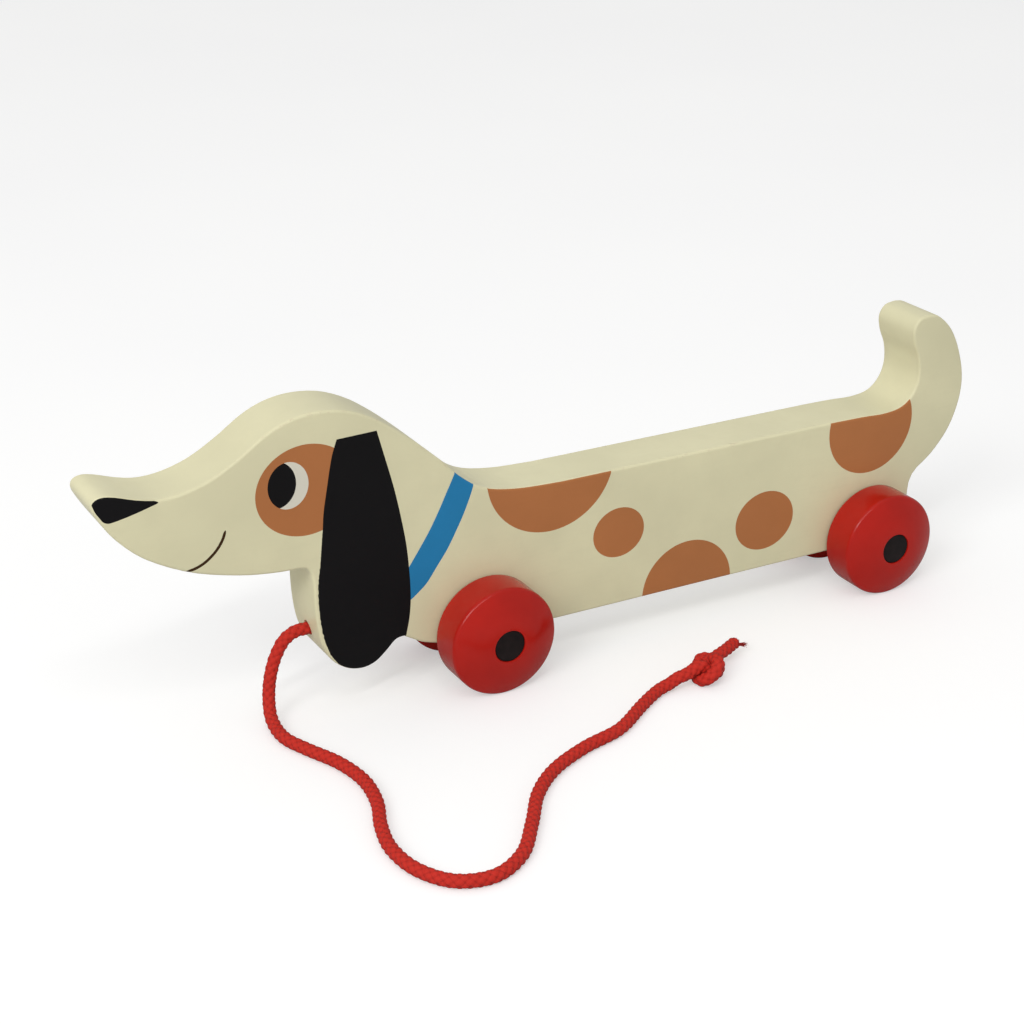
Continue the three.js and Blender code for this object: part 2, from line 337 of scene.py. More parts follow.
class Finish:
    """Builds the nodes of one material. Sizes of patterns are in millimetres."""

    def __init__(self, name):
        self.material = bpy.data.materials.new(name)
        self.material.use_nodes = True
        self.tree = self.material.node_tree
        self.tree.nodes.clear()
        output = self.tree.nodes.new("ShaderNodeOutputMaterial")
        self.surface = self.tree.nodes.new("ShaderNodeBsdfPrincipled")
        self.tree.links.new(self.surface.outputs[0], output.inputs["Surface"])
        self.place = self.tree.nodes.new("ShaderNodeTexCoord").outputs["Object"]

    def put(self, value, socket):
        if isinstance(value, bpy.types.NodeSocket):
            self.tree.links.new(value, socket)
        elif isinstance(value, (tuple, list)) and len(value) == 3 and socket.type == "RGBA":
            socket.default_value = (*value, 1.0)
        else:
            socket.default_value = value

    def set(self, **values):
        for key, value in values.items():
            label = key.replace("_", " ").title().replace("Ior", "IOR")
            self.put(value, self.surface.inputs[label])

    def math(self, operation, a, b=0.0, clamp=False):
        node = self.tree.nodes.new("ShaderNodeMath")
        node.operation = operation
        node.use_clamp = clamp
        self.put(a, node.inputs[0])
        self.put(b, node.inputs[1])
        return node.outputs[0]

    def stretch(self, factors, source=None):
        node = self.tree.nodes.new("ShaderNodeMapping")
        self.put(source or self.place, node.inputs["Vector"])
        node.inputs["Scale"].default_value = factors
        return node.outputs[0]

    def noise(self, size, detail=3.0, roughness=0.5, source=None, offset=0.0):
        node = self.tree.nodes.new("ShaderNodeTexNoise")
        node.noise_dimensions = "4D"
        self.put(source or self.place, node.inputs["Vector"])
        node.inputs["W"].default_value = offset
        node.inputs["Scale"].default_value = 1 / (size * MM)
        node.inputs["Detail"].default_value = detail
        node.inputs["Roughness"].default_value = roughness
        return node.outputs["Fac"]

    def span(self, value, low, high, to_low=0.0, to_high=1.0, smooth=False):
        node = self.tree.nodes.new("ShaderNodeMapRange")
        node.interpolation_type = "SMOOTHSTEP" if smooth else "LINEAR"
        self.put(value, node.inputs["Value"])
        limits = (("From Min", low), ("From Max", high), ("To Min", to_low), ("To Max", to_high))
        for key, limit in limits:
            node.inputs[key].default_value = limit
        return node.outputs["Result"]

    def blend(self, share, a, b, kind="MIX"):
        node = self.tree.nodes.new("ShaderNodeMix")
        node.data_type = "RGBA"
        node.blend_type = kind
        self.put(share, node.inputs["Factor"])
        colours = [s for s in node.inputs if s.type == "RGBA"]
        self.put(a, colours[0])
        self.put(b, colours[1])
        return next(s for s in node.outputs if s.type == "RGBA")

    def bump(self, height, depth, under=None):
        """Relief of this depth in millimetres, over any relief already made."""
        node = self.tree.nodes.new("ShaderNodeBump")
        node.inputs["Strength"].default_value = 1.0
        node.inputs["Distance"].default_value = depth * MM
        self.put(height, node.inputs["Height"])
        if under is not None:
            self.put(under, node.inputs["Normal"])
        return node.outputs[0]

    def attribute(self, name):
        node = self.tree.nodes.new("ShaderNodeAttribute")
        node.attribute_name = name
        return node.outputs["Vector"]

    def parts(self, vector):
        node = self.tree.nodes.new("ShaderNodeSeparateXYZ")
        self.put(vector, node.inputs[0])
        return node.outputs[0], node.outputs[1], node.outputs[2]

    def join(self, x, y, z):
        node = self.tree.nodes.new("ShaderNodeCombineXYZ")
        for value, socket in zip((x, y, z), node.inputs):
            self.put(value, socket)
        return node.outputs[0]

    def facing(self):
        node = self.tree.nodes.new("ShaderNodeNewGeometry")
        return self.parts(node.outputs["True Normal"])


def shade(colour, factor):
    return tuple(min(1.0, channel * factor) for channel in colour)


def plank_edge(finish):
    """1 on the rounded edges between the plank's sides and its rim, 0 elsewhere."""
    _, across, _ = finish.parts(finish.place)
    _, normal_y, _ = finish.facing()
    flank = PLANK_HALF - EDGE_RADIUS
    far_out = finish.span(finish.math("ABSOLUTE", across), (flank - 0.1) * MM, (flank + 0.3) * MM)
    not_flat = finish.span(finish.math("ABSOLUTE", normal_y), 0.999, 0.97)
    return finish.math("MULTIPLY", far_out, not_flat)


def satin_paint(name, colour, roughness=0.36, mottle=0.05, worn=None, shine=0.22):
    """Sprayed satin paint on sanded wood: faint grain, orange peel and uneven gloss."""
    finish = Finish(name)
    along_grain = finish.stretch((0.07, 1.0, 1.0))
    cloud = finish.noise(38, 2, offset=1.0)
    patch = finish.noise(7, 4, 0.6, offset=2.0)
    streak = finish.noise(1.1, 3, 0.6, along_grain, offset=3.0)
    peel = finish.noise(0.9, 2, 0.5, offset=4.0)
    base = finish.blend(
        finish.span(cloud, 0.35, 0.65), shade(colour, 1 - mottle), shade(colour, 1 + mottle)
    )
    base = finish.blend(
        finish.span(patch, 0.45, 0.8, 0.0, 0.35), base, shade(colour, 1 - 1.6 * mottle)
    )
    base = finish.blend(
        finish.span(streak, 0.5, 0.8, 0.0, 0.25), base, shade(colour, 1 - 1.2 * mottle)
    )
    gloss = finish.span(patch, 0.3, 0.75, roughness - 0.05, roughness + 0.08)
    if worn is not None:
        edge = plank_edge(finish)
        speck = finish.noise(1.4, 3, 0.7, offset=5.0)
        place = finish.noise(16, 2, 0.5, offset=6.0)
        rubbed = finish.math(
            "MULTIPLY", finish.span(speck, 0.52, 0.66), finish.span(place, 0.47, 0.6)
        )
        rubbed = finish.math("MULTIPLY", rubbed, edge)
        base = finish.blend(finish.math("MULTIPLY", rubbed, 0.55), base, worn)
        gloss = finish.math("ADD", gloss, finish.math("MULTIPLY", rubbed, 0.2))
    relief = finish.bump(streak, 0.028)
    relief = finish.bump(peel, 0.016, relief)
    finish.set(base_color=base, roughness=gloss, normal=relief, specular_ior_level=shine)
    return finish.material


def wheel_paint():
    """Semi-gloss red enamel on a turned wheel, dulled where it rolls on the floor."""
    colour = (0.42, 0.010, 0.005)
    finish = Finish("wheel_red_enamel")
    x, y, z = finish.parts(finish.place)
    radius = finish.math("SQRT", finish.math(
        "ADD", finish.math("MULTIPLY", x, x), finish.math("MULTIPLY", z, z)
    ))
    cloud = finish.noise(14, 3, offset=1.0)
    peel = finish.noise(2.4, 2, offset=2.0)
    rings = finish.noise(0.5, 2, 0.6, finish.join(radius, finish.math("MULTIPLY", y, 0.8), 0.0))
    speck = finish.noise(5.0, 3, 0.6, offset=4.0)
    worn_from, worn_to = ((WHEEL_RADIUS - inside_rim) * MM for inside_rim in TREAD_WORN)
    tread = finish.span(radius, worn_from, worn_to, smooth=True)
    dust = finish.math("MULTIPLY", tread, finish.span(speck, 0.5, 0.75))
    base = finish.blend(finish.span(cloud, 0.35, 0.65), shade(colour, 0.93), shade(colour, 1.07))
    base = finish.blend(finish.math("MULTIPLY", dust, 0.08), base, (0.36, 0.05, 0.04))
    gloss = finish.span(cloud, 0.3, 0.7, 0.17, 0.24)
    gloss = finish.math("ADD", gloss, finish.math("MULTIPLY", dust, 0.06))
    relief = finish.bump(rings, 0.0035)
    relief = finish.bump(peel, 0.008, relief)
    finish.set(base_color=base, roughness=gloss, normal=relief, specular_ior_level=0.24)
    return finish.material


def hub_paint():
    """Black satin paint on the end grain of a small plug."""
    finish = Finish("hub_black_satin")
    pores = finish.noise(0.35, 3, 0.7, finish.stretch((1.0, 0.1, 1.0)))
    cloud = finish.noise(4, 3, offset=2.0)
    dark, pale = (0.006, 0.004, 0.004), (0.014, 0.009, 0.009)
    base = finish.blend(finish.span(cloud, 0.35, 0.7), dark, pale)
    finish.set(
        base_color=base,
        roughness=finish.span(pores, 0.3, 0.7, 0.36, 0.52),
        normal=finish.bump(pores, 0.02),
        specular_ior_level=0.14,
    )
    return finish.material


def bare_wood(name, along, colour=(0.56, 0.36, 0.19)):
    """Pale beech with short dark flecks. along says how the grain is stretched."""
    finish = Finish(name)
    stretched = finish.stretch(along)
    rings = finish.noise(2.2, 3, 0.55, stretched, offset=1.0)
    fleck = finish.noise(0.5, 2, 0.6, stretched, offset=2.0)
    base = finish.blend(finish.span(rings, 0.3, 0.7), shade(colour, 0.82), shade(colour, 1.12))
    base = finish.blend(finish.span(fleck, 0.58, 0.7, 0.0, 0.7), base, shade(colour, 0.5))
    finish.set(
        base_color=base,
        roughness=finish.span(fleck, 0.3, 0.7, 0.55, 0.72),
        normal=finish.bump(fleck, 0.03),
    )
    return finish.material


def cord_yarn():
    """Braided polyester: each strand is a bundle of fine filaments. Painted shade darkens the
    grooves between strands and the cord's outline.
    """
    finish = Finish("cord_red_braid")
    across, along, height = finish.parts(finish.attribute("braid"))
    lean = finish.math("ADD", across, finish.math("MULTIPLY", along, 0.22))
    bundle = finish.join(lean, finish.math("MULTIPLY", along, 0.07), 0.0)
    filament = finish.noise(0.085, 3, 0.65, bundle, offset=1.0)
    yarn = finish.noise(0.34, 2, 0.5, bundle, offset=2.0)
    cloud = finish.noise(9, 2, offset=3.0)
    # Painted shade: the colour goes from the strand tops down to a darker red in the grooves
    # between strands.
    groove_shade, lit = (0.27, 0.010, 0.007), (0.55, 0.022, 0.012)
    base = finish.blend(finish.span(height, 0.1, 0.8, smooth=True), groove_shade, lit)
    base = finish.blend(finish.span(filament, 0.4, 0.75, 0.0, 0.5), base, (0.62, 0.045, 0.028))
    base = finish.blend(finish.span(filament, 0.5, 0.2, 0.0, 0.4), base, (0.32, 0.011, 0.008))
    base = finish.blend(finish.span(cloud, 0.35, 0.7, 0.0, 0.22), base, (0.43, 0.014, 0.009))
    # Painted shade: the cord's colour darkens towards its outline, where the surface turns away
    # from the camera.
    edge = finish.tree.nodes.new("ShaderNodeLayerWeight").outputs["Facing"]
    base = finish.blend(finish.span(edge, 0.45, 1.0, 0.0, 0.7), base, (0.20, 0.006, 0.006))
    relief = finish.bump(yarn, 0.10)
    relief = finish.bump(filament, 0.05, relief)
    finish.set(
        base_color=base,
        roughness=finish.span(filament, 0.3, 0.8, 0.78, 0.55),
        normal=relief,
        sheen_weight=0.04,
        sheen_roughness=0.5,
        sheen_tint=(1.0, 0.45, 0.4),
        specular_ior_level=0.2,
    )
    return finish.material


def floor_finish():
    """Pale studio floor. It looks white, but throws less light back up than a white one."""
    finish = Finish("studio_floor")
    cloud = finish.noise(300, 2)
    base = finish.blend(finish.span(cloud, 0.3, 0.7), (0.60, 0.60, 0.60), (0.62, 0.62, 0.615))
    seen = finish.tree.nodes.new("ShaderNodeLightPath").outputs["Is Camera Ray"]
    finish.set(base_color=base, roughness=0.75, specular_ior_level=0.2)
    finish.set(emission_color=(1.0, 1.0, 1.0))
    finish.set(emission_strength=finish.math("MULTIPLY", seen, FLOOR_GLOW))
    return finish.material


# ---- plank

CREAM, BROWN, BLACK, BLUE, WHITE, SMILE, WOOD = range(7)


def plank_materials():
    cream = (0.71, 0.672, 0.442)
    return [
        satin_paint("plank_cream_paint", cream, 0.38, worn=(0.60, 0.50, 0.34)),
        satin_paint("plank_brown_paint", (0.432, 0.160, 0.052), 0.42),
        satin_paint("plank_black_paint", (0.0042, 0.0038, 0.0044), 0.44, mottle=0.12, shine=0.12),
        satin_paint("plank_blue_paint", (0.016, 0.196, 0.415), 0.40, mottle=0.06, shine=0.16),
        satin_paint("plank_white_paint", (0.71, 0.68, 0.57), 0.38),
        satin_paint("plank_smile_paint", (0.046, 0.020, 0.006), 0.45, mottle=0.1, shine=0.1),
        bare_wood("plank_bare_wood", (0.1, 1.0, 1.0)),
    ]


def plank_outline():
    """The CAD plank's rim as one closed loop in millimetres, and its outward directions."""
    mesh = frame["nodes"]["plank_body"].data
    rim = (-PLANK_HALF + EDGE_RADIUS) * MM
    ring = {
        v.index: (round(v.co.x * 1e6), round(v.co.z * 1e6))
        for v in mesh.vertices if abs(v.co.y - rim) < 2e-6
    }
    joined = {}
    for edge in mesh.edges:
        a, b = (ring.get(i) for i in edge.vertices)
        if a is not None and b is not None and a != b:
            joined.setdefault(a, set()).add(b)
            joined.setdefault(b, set()).add(a)
    start = min(joined)
    loop, before, here = [start], None, start
    while True:
        there = min(k for k in joined[here] if k != before)
        if there == start or len(loop) > len(joined):
            break
        loop.append(there)
        before, here = here, there
    corners = np.array(loop, float) / 1000
    corners[:, 1] -= FLOOR / MM
    after = np.roll(corners, -1, axis=0)
    if np.sum(corners[:, 0] * after[:, 1] - after[:, 0] * corners[:, 1]) < 0:
        corners = corners[::-1]
    split = []
    for a, b in zip(corners, np.roll(corners, -1, axis=0)):
        pieces = max(1, math.ceil(np.linalg.norm(b - a) / LONGEST_SPAN))
        split.extend(a + (b - a) * k / pieces for k in range(pieces))
    outline = smooth_curve(split, OUTLINE_SPACING, closed=True)
    tip = outline[:, 0] < NOSE_TIP_X
    for _ in range(NOSE_TIP_ROUNDS):
        beside = np.roll(outline, 1, axis=0), np.roll(outline, -1, axis=0)
        softer = 0.25 * beside[0] + 0.5 * outline + 0.25 * beside[1]
        outline[tip] = softer[tip]
    along = np.roll(outline, -1, axis=0) - np.roll(outline, 1, axis=0)
    along /= np.linalg.norm(along, axis=1)[:, None]
    return outline, np.stack([along[:, 1], -along[:, 0]], 1)


def ear_outline():
    """A hanging ear that is straight across the top and fills the chest lobe below."""
    front = smooth_curve([
        (-137.4, 100.5), (-139.2, 95.3), (-140.3, 90.4), (-141.6, 83.5), (-142.9, 76.4),
        (-143.6, 69.5), (-144.3, 63), (-145, 57), (-145.8, 51.4), (-146.1, 45.5),
        (-145.9, 40.5), (-145.4, 34.5), (-144.6, 30), (-143.4, 25.9), (-141.8, 22.3),
        (-139.5, 19.1), (-136.5, 16.7), (-134, 14),
    ], 0.6)
    back = smooth_curve([
        (-114.1, 24.5), (-112.9, 30.1), (-112.3, 35.5), (-112.2, 41.5), (-112.6, 49.5),
        (-113.4, 58.1), (-115.2, 68.8), (-117.4, 79.4), (-120.2, 90.1), (-123.1, 100.9),
    ], 1.0)
    random = np.random.default_rng(SEED)
    ragged = np.clip((80 - front[:, 1]) / 30, 0, 1)
    front[:, 0] += random.normal(0, 0.07, len(front)) * ragged
    below = [(-131.5, 8.5), (-119.5, 12.5), (-115.1, 19.5)]
    return np.vstack([front, below, back])


def collar_outline():
    back = smooth_curve([
        (-86.1, 80), (-88.4, 72.4), (-91.2, 65.5), (-94.4, 59.2), (-97.9, 53),
        (-102, 47.3), (-106.1, 41.8), (-109.1, 39.2), (-112.3, 36.9), (-115.5, 35.3),
    ], 1.2)
    front = smooth_curve([
        (-115.5, 45.1), (-112.5, 49.5), (-108.5, 55.3), (-104.7, 61.1), (-101.4, 67),
        (-98.2, 73.4), (-95, 79.9), (-92.1, 87),
    ], 1.2)
    return np.vstack([back, front])


def nose_outline():
    """Runs off the top of the muzzle, so that the paint ends at the plank's edge there."""
    seen = smooth_curve([
        (-216.6, 96.2), (-218.6, 95.6), (-219.5, 94.6), (-219.2, 93.0), (-218.5, 91.3),
        (-217.5, 89.6), (-216.4, 88), (-215.1, 87.3), (-213.6, 87.3), (-210.5, 87.8),
        (-205.5, 88.9), (-201, 90.1), (-198.4, 91), (-200.7, 92.1), (-204.2, 93.2),
        (-207, 94.4),
    ], 0.4)
    return np.vstack([seen, [(-208.6, 97.5), (-213.6, 99)]])


def smile_outline():
    """A thin brush line that narrows to a rounded point at each end."""
    line = smooth_curve([
        (-177, 76.9), (-178.2, 73.8), (-180.1, 71), (-182.6, 68.6), (-185.4, 66.8),
        (-188.2, 65.8), (-191.1, 65.4),
    ], 0.4)
    along = np.gradient(line, axis=0)
    along /= np.linalg.norm(along, axis=1)[:, None]
    side = np.stack([-along[:, 1], along[:, 0]], 1)
    share = np.linspace(0, 1, len(line))
    half = 0.5 * np.clip(np.sqrt(share * 18), 0, 1) * np.clip(np.sqrt((1 - share) * 12), 0, 1)
    half = np.maximum(half, 0.05)[:, None]
    return np.vstack([line + side * half, (line - side * half)[::-1]])


def pupil_outline():
    """The part of the eye that a disc of its own size covers when moved forwards."""
    x, z, half_length, half_height = EYE
    to_pupil = (PUPIL_CENTRE[0] - x) / half_length, (PUPIL_CENTRE[1] - z) / half_height
    away = math.hypot(*to_pupil)
    facing, corner = math.atan2(to_pupil[1], to_pupil[0]), math.acos(away / 2)
    rim = facing + np.linspace(-corner, corner, PUPIL_STEPS)
    covered = facing + math.pi + np.linspace(-corner, corner, PUPIL_STEPS)[1:-1]
    across = np.concatenate([np.cos(rim), np.cos(covered) + to_pupil[0]])
    up = np.concatenate([np.sin(rim), np.sin(covered) + to_pupil[1]])
    return np.stack([x + half_length * across, z + half_height * up], 1)


def painted_shapes():
    """(loop, colour) in the order in which they were painted."""
    spots = ((-29.4, 44.3, 10.6, 9.55), (34.4, 35.4, 13.0, 11.65), (-57.3, 75.2, 25.3, 24.3),
             (0.6, 15.7, 19.3, 18.7), (81.6, 64.5, 19.4, 19.1), (-148.8, 85, 17.6, 15.9))
    shapes = [(ellipse(*spot), BROWN) for spot in spots]
    shapes.append((ellipse(*EYE), WHITE))
    shapes.append((pupil_outline(), BLACK))
    shapes.append((smile_outline(), SMILE))
    shapes.append((nose_outline(), BLACK))
    shapes.append((collar_outline(), BLUE))
    shapes.append((ear_outline(), BLACK))
    return shapes


def paint_colours(centres, shapes, limit):
    """The material of each small face of the plank's side."""
    colours = np.full(len(centres), CREAM)
    for loop, colour in shapes:
        colours[inside(centres, loop)] = colour
    colours[~inside(centres, limit)] = CREAM
    return colours


def loop_edges(loops):
    edges, first = [], 0
    for loop in loops:
        count = len(loop)
        edges.extend((first + i, first + (i + 1) % count) for i in range(count))
        first += count
    return edges


def edge_inset(degrees):
    """How far inside the outline the rounded edge is, this far round from the flat side."""
    return EDGE_RADIUS * (1 - math.sin(math.radians(degrees)))


def clipped_drawing(outline, outward, shapes):
    """Painted edges and the first steps of the rounded edge, cut where the paint ends."""
    limit = outline - outward * edge_inset(PAINT_LIMIT_DEGREES)
    steps = [outline - outward * edge_inset(90 * k / EDGE_STEPS) for k in range(PAINTED_STEPS)]
    loops = [limit, *steps, *(loop for loop, _ in shapes)]
    corners = [Vector(p) for loop in loops for p in loop]
    drawn = delaunay_2d_cdt(corners, loop_edges(loops), [], 0, 1e-5, True)
    points = np.array([tuple(p) for p in drawn[0]])
    edges = np.array([edge for edge, source in zip(drawn[1], drawn[4]) if source])
    on_limit = np.array([
        any(i < len(limit) for i in source) for source in drawn[4] if source
    ])
    keep = on_limit | inside(points[edges].mean(axis=1), limit)
    return points, edges[keep], limit


def side_depth(points, outline):
    """Y of each point of the plank's left side: flat, then round the edge to the outline."""
    after = np.roll(outline, -1, axis=0)
    run = after - outline
    length = np.maximum((run ** 2).sum(axis=1), 1e-12)
    depth = np.full(len(points), -PLANK_HALF)
    for i, point in enumerate(points):
        share = np.clip(((point - outline) * run).sum(axis=1) / length, 0, 1)
        inset = np.sqrt(((outline + run * share[:, None] - point) ** 2).sum(axis=1).min())
        if inset < EDGE_RADIUS:
            rise = 1 - inset / EDGE_RADIUS
            depth[i] = -(PLANK_HALF - EDGE_RADIUS) - EDGE_RADIUS * math.sqrt(1 - rise * rise)
    return depth


def painted_side(outline, outward):
    """Small faces that cover the plank's left side, split along every painted edge."""
    rim = outline - outward * edge_inset(90 * PAINTED_STEPS / EDGE_STEPS)
    shapes = painted_shapes()
    drawn, drawn_edges, limit = clipped_drawing(outline, outward, shapes)
    bores = [circle(x, WHEEL_RADIUS, BORE_RADIUS, BORE_STEPS)
             for x in (-HALF_WHEELBASE, HALF_WHEELBASE)]
    loops = [rim, *bores]
    fixed = sum(len(loop) for loop in loops)
    corners = [Vector(p) for loop in loops for p in loop] + [Vector(p) for p in drawn]
    edges = loop_edges(loops) + [tuple(int(i) + fixed for i in edge) for edge in drawn_edges]
    used = sorted({i for edge in edges for i in edge})
    place = {old: new for new, old in enumerate(used)}
    corners = [corners[i] for i in used]
    edges = [(place[a], place[b]) for a, b in edges]
    cut = delaunay_2d_cdt(corners, edges, [], 0, 1e-5, True)
    points = np.array([tuple(p) for p in cut[0]])
    faces = np.array([tuple(f) for f in cut[2]])
    centres = points[faces].mean(axis=1)
    solid = inside(centres, rim)
    for bore in bores:
        solid &= ~inside(centres, bore)
    faces, centres = faces[solid], centres[solid]
    came_from = {old: new for new, olds in enumerate(cut[3]) for old in olds}
    rim_ids = np.array([came_from[i] for i in range(len(rim))])
    first = len(rim)
    bore_ids = []
    for bore in bores:
        bore_ids.append(np.array([came_from[first + i] for i in range(len(bore))]))
        first += len(bore)
    return points, faces, paint_colours(centres, shapes, limit), rim_ids, bore_ids


def edge_profile():
    """(inset, y) across the plank, from one flat side round to the other, without its ends."""
    turns = np.radians(np.linspace(0, 90, EDGE_STEPS + 1))[PAINTED_STEPS + 1:]
    flank = PLANK_HALF - EDGE_RADIUS
    left = [(EDGE_RADIUS * (1 - math.sin(a)), -flank - EDGE_RADIUS * math.cos(a)) for a in turns]
    support = [(0.0, -flank + BAND_SUPPORT)]
    right = [(inset, -y) for inset, y in reversed(left + support)]
    return left + support + right


def plank_mesh():
    outline, outward = plank_outline()
    points, side_faces, colours, rim_ids, bore_ids = painted_side(outline, outward)
    per_ring = len(outline)
    used = np.unique(side_faces)
    keep = np.full(len(points), -1)
    keep[used] = np.arange(len(used))
    points, side_faces = points[used], keep[side_faces]
    rim_ids = keep[rim_ids]
    bore_ids = [keep[ids] for ids in bore_ids]
    count = len(points)
    left = np.stack([points[:, 0], side_depth(points, outline), points[:, 1]], 1)
    right = left * (1, -1, 1)
    blocks, faces, materials = [left, right], [], []
    area = np.cross(
        points[side_faces[:, 1]] - points[side_faces[:, 0]],
        points[side_faces[:, 2]] - points[side_faces[:, 0]],
    )
    side_faces[area < 0] = side_faces[area < 0][:, ::-1]
    faces.extend(map(tuple, side_faces.tolist()))
    faces.extend(map(tuple, (side_faces[:, ::-1] + count).tolist()))
    materials.extend(colours.tolist() * 2)
    rings = [rim_ids]
    first = 2 * count
    for inset, y in edge_profile():
        ring = outline - outward * inset
        blocks.append(np.stack([ring[:, 0], np.full(per_ring, y), ring[:, 1]], 1))
        rings.append(np.arange(first, first + per_ring))
        first += per_ring
    rings.append(rim_ids + count)
    for near, far in zip(rings, rings[1:]):
        quads = np.stack([near, far, np.roll(far, -1), np.roll(near, -1)], 1)
        faces.extend(map(tuple, quads.tolist()))
        materials.extend([CREAM] * per_ring)
    for ids in bore_ids:
        near, far = ids, ids + count
        quads = np.stack([near, np.roll(near, -1), np.roll(far, -1), far], 1)
        faces.extend(map(tuple, quads.tolist()))
        materials.extend([WOOD] * len(ids))
    return np.vstack(blocks), faces, materials


def cord_hole_cutter(materials):
    """A drill that leaves a slightly rounded lip where the hole meets the chest."""
    bottom = CHEST_X + CORD_HOLE_DEPTH
    profile = [(CHEST_X + depth, radius) for depth, radius in CORD_HOLE_LIP]
    profile.append((bottom, CORD_HOLE_RADIUS))
    steps = CORD_HOLE_STEPS
    turns = round_turns(steps)
    rings = [np.stack([np.full(steps, x), r * np.cos(turns), CORD_HOLE_Z + r * np.sin(turns)], 1)
             for x, r in profile]
    last = (len(profile) - 1) * steps
    faces = [tuple(range(steps))[::-1], tuple(range(last, last + steps))]
    for k in range(len(profile) - 1):
        here, there = k * steps, (k + 1) * steps
        faces.extend((here + i, here + (i + 1) % steps, there + (i + 1) % steps, there + i)
                     for i in range(steps))
    return mesh_object("cord_hole_cutter", np.vstack(rings), faces, materials, [WOOD] * len(faces))


def build_plank():
    materials = plank_materials()
    vertices, faces, indices = plank_mesh()
    plank = mesh_object("painted_plank", vertices, faces, materials, indices)
    cutter = cord_hole_cutter(materials)
    drill = plank.modifiers.new("cord_hole", "BOOLEAN")
    drill.operation, drill.solver, drill.object = "DIFFERENCE", "EXACT", cutter
    depsgraph = bpy.context.evaluated_depsgraph_get()
    drilled = bpy.data.meshes.new_from_object(plank.evaluated_get(depsgraph))
    plank.modifiers.clear()
    plank.data = drilled
    finish_shading(drilled, 35)
    bpy.data.objects.remove(cutter)
    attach(plank, "toy_body")
    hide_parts("plank_body")


# ---- wheels


def wheel_profile():
    dome_rise = WHEEL_WIDTH - DOME_START_HEIGHT
    dome_run = DOME_START_RADIUS - PLUG_RADIUS
    outer = WHEEL_RADIUS - WHEEL_OUTER_ROUND
    profile = [(AXLE_FIT_RADIUS, 0.0)]
    inner = WHEEL_RADIUS - WHEEL_INNER_ROUND
    profile += arc(inner, WHEEL_INNER_ROUND, WHEEL_INNER_ROUND, -90, 0, 6)
    profile += [(WHEEL_RADIUS, y) for y in TREAD_RINGS]
    round_centre = DOME_START_HEIGHT - WHEEL_ROUND_RISE
    profile += arc(outer, round_centre, WHEEL_OUTER_ROUND, 0, WHEEL_ROUND_DEGREES, 8)
    for share in np.linspace(0, 1, DOME_STEPS + 1)[1:]:
        radius = DOME_START_RADIUS + (PLUG_SOCKET_RADIUS + SOCKET_LIP - DOME_START_RADIUS) * share
        fall = ((radius - PLUG_RADIUS) / dome_run) ** 2
        profile.append((radius, WHEEL_WIDTH - dome_rise * fall))
    out, down = SOCKET_LIP_MIDDLE
    profile += [(PLUG_SOCKET_RADIUS + out, WHEEL_WIDTH - down),
                (PLUG_SOCKET_RADIUS, WHEEL_WIDTH - SOCKET_LIP),
                (PLUG_SOCKET_RADIUS, WHEEL_WIDTH - PLUG_DEPTH),
                (AXLE_FIT_RADIUS, WHEEL_WIDTH - PLUG_DEPTH)]
    return profile


def plug_profile():
    bottom = WHEEL_WIDTH - PLUG_DEPTH + PLUG_FLOOR_GAP
    top = WHEEL_WIDTH
    tiny = 0.02
    profile = [(tiny, bottom), (PLUG_RADIUS - PLUG_BEVEL, bottom)]
    profile.append((PLUG_RADIUS, bottom + PLUG_BEVEL))
    profile += arc(PLUG_RADIUS - PLUG_ROUND, top - PLUG_ROUND - PLUG_CROWN, PLUG_ROUND, 0, 84, 5)
    for share in np.linspace(0, 1, 7)[1:]:
        radius = (PLUG_RADIUS - PLUG_ROUND) * (1 - share) + tiny * share
        profile.append((radius, top - PLUG_CROWN * (radius / (PLUG_RADIUS - PLUG_ROUND)) ** 2))
    return profile


def build_wheels():
    red, black = wheel_paint(), hub_paint()
    dowel = bare_wood("dowel_beech", (1.0, 0.08, 1.0))
    for end, x in (("front", -HALF_WHEELBASE), ("rear", HALF_WHEELBASE)):
        body = f"{end}_wheelset"
        for side_name, side in (("left", -1), ("right", 1)):
            hub = (x * MM, side * WHEEL_INNER_Y * MM, at_height(WHEEL_RADIUS))
            name = f"{end}_{side_name}"
            wheel = lathe(f"{name}_turned_wheel", wheel_profile(), WHEEL_STEPS, hub, side, [red])
            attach(wheel, body)
            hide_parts(f"{name}_wheel")
            plug = lathe(f"{name}_turned_plug", plug_profile(), PLUG_STEPS, hub, side, [black])
            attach(plug, body)
            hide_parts(f"{name}_hub_plug")
        axle = frame["nodes"][f"{end}_axle"]
        for slot in axle.material_slots:
            slot.material = dowel


# ---- cord


def cord_line():
    """Points on the cord's centre line from the chest to its end, in millimetres."""
    air = [
        (CHEST_X - 0.2, 0, CORD_HOLE_Z), (-150.4, 0, 29.5), (-154.6, -0.2, 27.4),
        (-157.8, -0.5, 23), (-160.2, -1, 17.4), (-162, -2.2, 10.4), (-163.4, -6, 4.4),
        (-164.3, -12, 2.5),
    ]
    ground = [
        (-164.2, -21), (-160.6, -31), (-155, -44), (-152.6, -58), (-154.6, -72),
        (-159.4, -85), (-162, -98), (-160, -112), (-152.6, -122.6), (-141.2, -125.6),
        (-129, -119.6), (-117.6, -105.6), (-107.4, -91.4), (-96, -81.4), (-80, -73.8),
        (-63.6, -69), (-49.5, -59.6), (-42.7, -55.2),
    ]
    rise = [(-36.8, -52.2, 2.4), (-32.2, -51.6, 3.2), (-29.4, -51.8, 4.6)]
    tail = [(-8, -45.3, 5.3), (-2, -42.4, 5.1), (1.2, -40.4, 4.9), (3.8, -39.1, 4.8)]
    return [*air, *((x, y, CORD_RADIUS) for x, y in ground), *rise, *placed_knot(), *tail]


